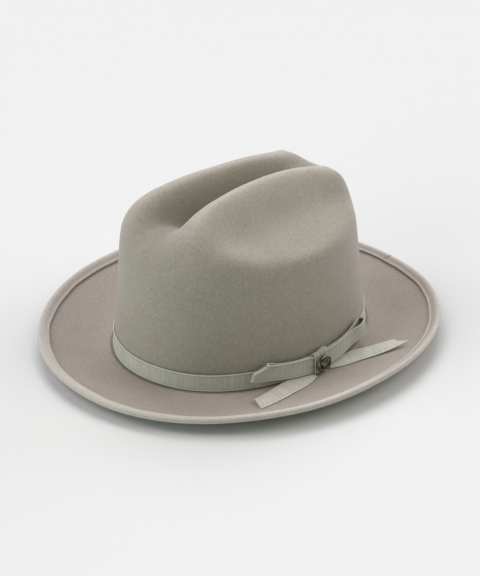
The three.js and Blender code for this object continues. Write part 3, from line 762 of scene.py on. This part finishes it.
def tail_object(name, side):
    rows = TAILS[side]
    position = np.linspace(0, len(rows["outer_x"]) - 1, TAIL_STEPS)
    curve = {key: smooth_value(values, position)[:, None] for key, values in rows.items()}
    share = (ACROSS[None, :] + 1) / 2
    x = mix(curve["inner_x"], curve["outer_x"], share)
    y = mix(curve["inner_y"], curve["outer_y"], share)
    along = np.stack([np.gradient(x[:, 0]), np.gradient(y[:, 0])], axis=-1)
    along /= np.linalg.norm(along, axis=-1, keepdims=True)
    begin = TAIL_BENDS["notch_from"]
    end = smooth_step((position[:, None] / position[-1] - begin) / (1 - begin))
    notch = TAIL_NOTCH[side] * (1 - np.abs(ACROSS[None, :])) * end
    x, y = x - along[:, :1] * notch, y - along[:, 1:] * notch
    turn = position[:, None] * TAIL_BENDS["wave_turn"] + TAIL_BENDS["wave_start"]
    wave = TAIL_BENDS["wave"] * np.sin(turn) * np.sin(np.pi * share)
    lift = mix(curve["inner_lift"], curve["outer_lift"], share) + RIBBON_SKIN / 2
    arch = TAIL_BENDS["arch"] * (1 - ACROSS[None, :] ** 2) + wave
    obj = strip_object(name, np.stack([x, y, brim_top_at(x, y) + lift + arch], axis=-1))
    # Marks the tails for their painted light
    add_layer(obj, "tail_painted_light", np.ones(len(obj.data.vertices)))
    return obj


def stud_object():
    angle = np.arange(STUD_SIDES) * 2 * np.pi / STUD_SIDES
    rings = []
    for radius, height in zip(STUD_PROFILE["radius"], STUD_PROFILE["height"]):
        depth = np.full_like(angle, height)
        rings.append(np.stack([depth, radius * np.cos(angle), radius * np.sin(angle)], axis=-1))
    points = np.stack(rings, axis=1)
    faces = grid_faces(STUD_SIDES, len(rings), row_closed=False)
    obj = mesh_object("bow_stud", points.reshape(-1, 3), faces)
    merge_close(obj, MERGE_DISTANCE["stud"])
    fix_normals(obj)
    x = float(beside_wall(BOW_MIDDLE, STUD_OFFSET, STUD_HEIGHT))
    obj.location = Vector((x, BOW_MIDDLE, STUD_HEIGHT)) * MM
    obj.rotation_euler = (0, math.radians(-STUD_TILT), 0)
    return obj


class Look:
    """A new material with short ways to add and join its nodes."""

    def __init__(self, name):
        self.material = bpy.data.materials.new(name)
        self.material.use_nodes = True
        self.tree = self.material.node_tree
        self.shader = self.tree.nodes["Principled BSDF"]

    def node(self, kind, inputs=None, **settings):
        node = self.tree.nodes.new(kind)
        for key, value in settings.items():
            setattr(node, key, value)
        for key, value in (inputs or {}).items():
            self.put(value, node.inputs[key])
        return node

    def put(self, value, socket):
        if isinstance(value, bpy.types.NodeSocket):
            self.tree.links.new(value, socket)
        else:
            socket.default_value = value

    def set(self, values):
        for key, value in values.items():
            self.put(value, self.shader.inputs[key])

    def position(self):
        return self.node("ShaderNodeTexCoord").outputs["Object"]

    def noise(self, vector, scale, detail=3.0, roughness=0.6):
        inputs = {"Vector": vector, "Scale": scale, "Detail": detail, "Roughness": roughness}
        return self.node("ShaderNodeTexNoise", inputs).outputs["Fac"]

    def ramp(self, factor, stops):
        node = self.node("ShaderNodeValToRGB", {"Fac": factor})
        elements = node.color_ramp.elements
        while len(elements) < len(stops):
            elements.new(0.5)
        for element, (position, colour) in zip(elements, stops):
            element.position = position
            element.color = (*colour, 1)
        return node.outputs["Color"]

    def maths(self, operation, first, second=0.0):
        node = self.node("ShaderNodeMath", operation=operation)
        self.put(first, node.inputs[0])
        self.put(second, node.inputs[1])
        return node.outputs[0]

    def line(self, amount, place, width):
        """A soft line: 1 where the amount is at the place, and 0 further than its width away."""
        distance = self.maths("DIVIDE", self.maths("SUBTRACT", amount, place), width)
        square = self.maths("MULTIPLY", distance, distance)
        return self.maths("EXPONENT", self.maths("MULTIPLY", square, -1.0))

    def attribute(self, name):
        return self.node("ShaderNodeAttribute", attribute_name=name).outputs["Fac"]

    def fall(self, amount, depth):
        """1 where the amount is 0, and less by the depth where it is 1."""
        return self.maths("SUBTRACT", 1.0, self.maths("MULTIPLY", amount, depth))

    def bump(self, height, strength, distance, normal=None):
        inputs = {"Height": height, "Strength": strength, "Distance": distance}
        if normal is not None:
            inputs["Normal"] = normal
        return self.node("ShaderNodeBump", inputs).outputs["Normal"]


def felt_look():
    look = Look("felt")
    position = look.position()
    mottle = look.noise(position, *FELT_NOISE["mottle"])
    grain = look.noise(position, *FELT_NOISE["grain"])
    fibres = look.noise(position, *FELT_NOISE["fibres"])
    shade = look.maths("MULTIPLY", mottle, FELT_SHARES["mottle"])
    for amount, name in ((grain, "grain"), (fibres, "fibres")):
        shade = look.maths("ADD", shade, look.maths("MULTIPLY", amount, FELT_SHARES[name]))
    colour = look.ramp(shade, FELT_RAMP)
    # The folded edge's lighter colour, which on the flap also carries painted light and shade
    welt = look.attribute("welt")
    blend = look.node("ShaderNodeMix", data_type="RGBA", blend_type="MIX")
    look.put(welt, blend.inputs[0])
    look.put(colour, blend.inputs[6])
    look.put(look.ramp(shade, WELT_RAMP), blend.inputs[7])
    # Painted highlight on the ridges and painted shade in the crease
    tone = look.attribute("top")
    gain = look.maths("ADD", look.maths("MULTIPLY", tone, FELT_PAINTED_LIGHT_AND_SEAM["ridge"]), 1.0)
    # Painted shade at the crown's foot
    gain = look.maths("MULTIPLY", gain, look.fall(look.attribute("foot"), FELT_PAINTED_LIGHT_AND_SEAM["foot"]))
    gain = look.maths("MULTIPLY", gain, look.fall(look.attribute("seam"), FELT_PAINTED_LIGHT_AND_SEAM["seam"]))
    # Painted shadow: a thin dark line on the wall just above the ribbon band's upper edge
    height = look.node("ShaderNodeSeparateXYZ", {"Vector": position}).outputs["Z"]
    edge = (RIBBON_LEVEL + RIBBON_WIDTH + RIBBON_SHADOW["above"]) * MM
    line = look.line(height, edge, RIBBON_SHADOW["half_width"] * MM)
    line = look.maths("MULTIPLY", line, look.maths("SUBTRACT", 1.0, welt))
    gain = look.maths("MULTIPLY", gain, look.fall(line, FELT_PAINTED_LIGHT_AND_SEAM["line"]))
    toned = look.node("ShaderNodeVectorMath", {0: blend.outputs[2], "Scale": gain}, operation="SCALE")
    # Painted light: the crown's greener tint
    tinted = look.node("ShaderNodeMix", data_type="RGBA", blend_type="MULTIPLY")
    look.put(look.attribute("crown"), tinted.inputs[0])
    look.put(toned.outputs["Vector"], tinted.inputs[6])
    look.put(CROWN_PAINTED_LIGHT_TINT, tinted.inputs[7])
    coarse = look.bump(grain, *FELT_BUMP["grain"])
    look.set({"Base Color": tinted.outputs[2], **FELT_SHADER})
    look.set({"Normal": look.bump(fibres, *FELT_BUMP["fibres"], coarse)})
    return look.material


def ribbon_look():
    look = Look("ribbon")
    uv = look.node("ShaderNodeUVMap", uv_map="ribbon").outputs["UV"]
    parts = look.node("ShaderNodeSeparateXYZ", {"Vector": uv})
    rib = look.maths("SINE", look.maths("MULTIPLY", parts.outputs["X"], 2 * math.pi))
    stretch = look.node("ShaderNodeMapping", {"Vector": uv, "Scale": RIBBON_TONE["streaks"]})
    streaks = look.noise(stretch.outputs["Vector"], *RIBBON_NOISE["streaks"])
    edge = look.maths("ABSOLUTE", look.maths("SUBTRACT", parts.outputs["Y"], 0.5))
    light_edge = look.line(edge, RIBBON_TONE["light_place"], RIBBON_TONE["light_width"])
    dark_edge = look.line(edge, RIBBON_TONE["dark_place"], RIBBON_TONE["dark_width"])
    beads = look.maths("ADD", look.maths("MULTIPLY", rib, RIBBON_SHARES["beads"]), 1.0)
    dark_edge = look.maths("MULTIPLY", dark_edge, beads)
    weave = look.noise(look.position(), *RIBBON_NOISE["weave"])
    rib_share = look.maths("MULTIPLY", rib, RIBBON_SHARES["rib"])
    shade = look.maths("ADD", rib_share, look.maths("MULTIPLY", weave, RIBBON_SHARES["weave"]))
    for amount, name in ((streaks, "streaks"), (light_edge, "light_edge")):
        shade = look.maths("ADD", shade, look.maths("MULTIPLY", amount, RIBBON_SHARES[name]))
    shade = look.maths("SUBTRACT", shade, look.maths("MULTIPLY", dark_edge, RIBBON_SHARES["dark_edge"]))
    colour = look.ramp(shade, RIBBON_RAMP)
    # Painted light: the tails are made lighter than the rest of the ribbon
    tail_painted_light = look.maths("MULTIPLY", look.attribute("tail_painted_light"), RIBBON_TONE["tail_painted_light_gain"])
    gain = look.maths("ADD", tail_painted_light, 1.0)
    toned = look.node("ShaderNodeVectorMath", {0: colour, "Scale": gain}, operation="SCALE")
    ribs = look.bump(rib, *RIBBON_BUMP["rib"])
    look.set({"Base Color": toned.outputs["Vector"], **RIBBON_SHADER})
    look.set({"Normal": look.bump(weave, *RIBBON_BUMP["weave"], ribs)})
    return look.material


def stud_look():
    look = Look("aged_metal")
    wear = look.noise(look.position(), *STUD_NOISE)
    look.set({"Base Color": look.ramp(wear, STUD_RAMP), **STUD_SHADER})
    look.set({"Normal": look.bump(wear, *STUD_BUMP)})
    return look.material


def floor_look():
    look = Look("floor")
    look.set(FLOOR_SHADER)
    return look.material


def dress(obj, material, slot, *nodes):
    obj.data.materials.append(material)
    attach(obj, "root")
    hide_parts(*nodes)
    return obj


def build_hat():
    dress(felt_object(), felt_look(), "felt", "felt_body")
    ribbon = ribbon_look()
    band = dress(band_object(), ribbon, "ribbon", "ribbon_band")
    front = dress(loop_object("bow_loop_front", "front"), ribbon, "ribbon", "bow_front_loop")
    back = dress(loop_object("bow_loop_back", "back"), ribbon, "ribbon", "bow_back_loop")
    knot = dress(wrap_object(), ribbon, "ribbon", "bow_wrap")
    tail_front = dress(tail_object("bow_tail_front", "front"), ribbon, "ribbon", "tail_front")
    tail_back = dress(tail_object("bow_tail_back", "back"), ribbon, "ribbon", "tail_back")
    dress(stud_object(), stud_look(), "stud_metal", "stud")


# Light: where each soft lamp stands round the hat, how strong it is and its tint
LAMP_SOFTNESS = 40.0
LAMPS = [
    {"name": "front_low", "azimuth": 0, "elevation": 18, "strength": 0.92, "colour": (0.88, 1.0, 0.91)},
    {"name": "right_low", "azimuth": 135, "elevation": 18, "strength": 0.68, "colour": (0.9, 1.0, 0.9)},
    {"name": "back_right", "azimuth": 135, "elevation": 50, "strength": 0.96, "colour": (1.0, 0.9, 0.86)},
    {"name": "back_low", "azimuth": 180, "elevation": 18, "strength": 0.97, "colour": (0.85, 0.82, 1.0)},
    {"name": "back_left", "azimuth": 225, "elevation": 50, "strength": 1.88, "colour": (0.95, 0.96, 1.0)},
    {"name": "left_low", "azimuth": 315, "elevation": 18, "strength": 0.57, "colour": (0.81, 1.0, 0.99)},
    {"name": "left_high", "azimuth": 315, "elevation": 50, "strength": 1.32, "colour": (1.0, 0.88, 0.97)},
]
FLOOR_SIZE = 8.0
FLOOR_SHADER = {"Base Color": (0.699, 0.715, 0.697, 1), "Roughness": 1.0, "Specular IOR Level": 0.0}


def point_from(obj, azimuth_degrees, elevation_degrees):
    """Turn a lamp or the camera to look at the hat from this side."""
    azimuth, elevation = math.radians(azimuth_degrees), math.radians(elevation_degrees)
    flat = math.cos(elevation)
    source = Vector((math.sin(azimuth) * flat, -math.cos(azimuth) * flat, math.sin(elevation)))
    obj.rotation_mode = "QUATERNION"
    obj.rotation_quaternion = source.to_track_quat("Z", "Y")


def build_stage():
    bpy.ops.mesh.primitive_plane_add(size=FLOOR_SIZE, location=(0, 0, 0))
    floor = bpy.context.object
    floor.name = "floor"
    floor.data.materials.append(floor_look())
    for lamp in LAMPS:
        data = bpy.data.lights.new(lamp["name"], "SUN")
        data.energy = lamp["strength"]
        data.angle = math.radians(LAMP_SOFTNESS)
        data.color = lamp["colour"]
        obj = bpy.data.objects.new(lamp["name"], data)
        bpy.context.scene.collection.objects.link(obj)
        point_from(obj, lamp["azimuth"], lamp["elevation"])
    world = bpy.data.worlds.new("studio")
    bpy.context.scene.world = world
    world.use_nodes = True
    world.node_tree.nodes["Background"].inputs["Strength"].default_value = 0.0


# Camera: its direction from the hat, its place and its lens
CAMERA = {
    "azimuth": 45.0,
    "elevation": 28.29,
    "place": (0.9981, -0.9993, 0.7961),
    "lens": 132.24,
    "sensor_width": 36.0,
}


def build_camera():
    data = bpy.data.cameras.new("camera")
    data.lens = CAMERA["lens"]
    data.sensor_width = CAMERA["sensor_width"]
    camera = bpy.data.objects.new("camera", data)
    bpy.context.scene.collection.objects.link(camera)
    camera.location = CAMERA["place"]
    point_from(camera, CAMERA["azimuth"], CAMERA["elevation"])
    bpy.context.scene.camera = camera


build_hat()
build_stage()
build_camera()
bpy.context.scene.view_settings.view_transform = "Standard"
